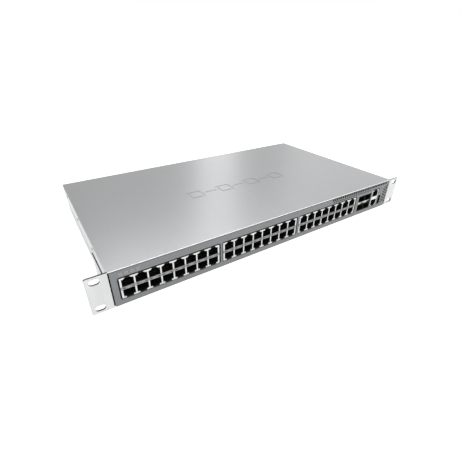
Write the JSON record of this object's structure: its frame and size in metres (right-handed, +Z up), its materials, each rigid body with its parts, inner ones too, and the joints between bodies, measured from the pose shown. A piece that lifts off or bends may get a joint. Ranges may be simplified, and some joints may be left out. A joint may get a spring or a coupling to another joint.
{
  "type": "rackmount network switch",
  "caption": "One-unit rackmount network switch in a folded steel case, with banks of copper ports, an uplink cage, internal power supplies and rear fans.",
  "frame": {"origin": "centre of the four rack-screw slots, on the front face of the mounting ears", "axes": "+X to the right of someone facing the ports, +Y from the ports towards the rear, +Z up"},
  "size_m": [0.4826, 0.2621, 0.0436],
  "materials": {
    "case_metal": "satin metallic coat on steel sheet",
    "cover_metal": "satin metallic coat on steel sheet",
    "bezel_paint": "fine textured dark grey powder coat",
    "ear_steel": "bright zinc plate",
    "screw_steel": "zinc plate",
    "port_plastic": "moulded black thermoplastic",
    "shield_tin": "bright tin plate",
    "contact_gold": "gold flash on phosphor bronze",
    "strip_plastic": "grey printed strip",
    "light_pipe": "clear moulded light pipe",
    "cage_steel": "nickel plate",
    "spring_steel": "bright spring strip",
    "gasket_steel": "bright spring strip",
    "usb_plastic": "moulded black thermoplastic",
    "circuit_board": "green solder mask on glass epoxy",
    "standoff_brass": "turned brass",
    "heat_sink": "extruded, anodised",
    "chip_epoxy": "moulded epoxy",
    "ferrite": "ferrite and tape",
    "capacitor_can": "bright can",
    "capacitor_sleeve": "shrink sleeve on aluminium can",
    "cell_steel": "stainless cell case",
    "connector_plastic": "natural nylon",
    "wire_jacket": "PVC insulation",
    "fan_plastic": "glass-filled black polyester",
    "guard_wire": "bright nickel-plated wire",
    "blade_brass": "nickel-plated brass",
    "inlet_plastic": "moulded black polyamide",
    "bracket_steel": "zinc plate",
    "bail_wire": "zinc-plated spring wire"
  },
  "bodies": {
    "chassis": {"board_capacitors": "capacitor_can", "board_connectors": "connector_plastic", "board_screws": "screw_steel", "board_standoffs": "standoff_brass", "chassis_tray": "case_metal", "circuit_chips": "chip_epoxy", "clock_battery": "cell_steel", "cover_screws": "screw_steel", "fan_frame_1": "fan_plastic", "fan_frame_2": "fan_plastic", "fan_frame_3": "fan_plastic", "fan_frame_4": "fan_plastic", "fan_guards": "guard_wire", "fan_leads": "wire_jacket", "fan_screws": "screw_steel", "front_bezel": "bezel_paint", "ground_nuts": "screw_steel", "inlet_blades": "blade_brass", "jack_contacts": "contact_gold", "left_rack_ear": "ear_steel", "main_circuit_board": "circuit_board", "management_jack_housing": "port_plastic", "management_jack_shield": "shield_tin", "port_bank_1_housing": "port_plastic", "port_bank_1_shield": "shield_tin", "port_bank_2_housing": "port_plastic", "port_bank_2_shield": "shield_tin", "port_bank_3_housing": "port_plastic", "port_bank_3_shield": "shield_tin", "port_label_strips": "strip_plastic", "port_light_pipes": "light_pipe", "power_harness": "wire_jacket", "power_inlet_1": "inlet_plastic", "power_inlet_2": "inlet_plastic", "power_supply_1_board": "circuit_board", "power_supply_2_board": "circuit_board", "power_supply_capacitors": "capacitor_sleeve", "power_supply_heat_sinks": "heat_sink", "power_supply_magnetics": "ferrite", "processor_heat_sink": "heat_sink", "rack_ear_screws": "screw_steel", "rear_panel": "case_metal", "retainer_brackets": "bracket_steel", "right_rack_ear": "ear_steel", "status_light_pipes": "light_pipe", "switch_heat_sink": "heat_sink", "top_cover": "cover_metal", "uplink_cage": "cage_steel", "uplink_connectors": "port_plastic", "uplink_gasket": "gasket_steel", "uplink_latch_springs": "spring_steel", "usb_shell": "shield_tin", "usb_tongue": "usb_plastic", "voltage_coils": "ferrite"},
    "fan_rotor_1": {"fan_rotor_1": "fan_plastic"},
    "fan_rotor_2": {"fan_rotor_2": "fan_plastic"},
    "fan_rotor_3": {"fan_rotor_3": "fan_plastic"},
    "fan_rotor_4": {"fan_rotor_4": "fan_plastic"},
    "retainer_bail_1": {"retainer_bail_1": "bail_wire"},
    "retainer_bail_2": {"retainer_bail_2": "bail_wire"}
  },
  "joints": [
    {"name": "fan_1_spin", "type": "hinge", "parent": "chassis", "child": "fan_rotor_1", "pos_m": [-0.069, 0.24, -0.0005], "axis": [0, 1, 0], "continuous": true},
    {"name": "fan_2_spin", "type": "hinge", "parent": "chassis", "child": "fan_rotor_2", "pos_m": [-0.023, 0.24, -0.0005], "axis": [0, 1, 0], "continuous": true},
    {"name": "fan_3_spin", "type": "hinge", "parent": "chassis", "child": "fan_rotor_3", "pos_m": [0.023, 0.24, -0.0005], "axis": [0, 1, 0], "continuous": true},
    {"name": "fan_4_spin", "type": "hinge", "parent": "chassis", "child": "fan_rotor_4", "pos_m": [0.069, 0.24, -0.0005], "axis": [0, 1, 0], "continuous": true},
    {"name": "retainer_1_swing", "type": "hinge", "parent": "chassis", "child": "retainer_bail_1", "pos_m": [-0.165, 0.2595, 0.012], "axis": [1, 0, 0], "range_deg": [0, 100]},
    {"name": "retainer_2_swing", "type": "hinge", "parent": "chassis", "child": "retainer_bail_2", "pos_m": [0.165, 0.2595, 0.012], "axis": [1, 0, 0], "range_deg": [0, 100]}
  ]
}
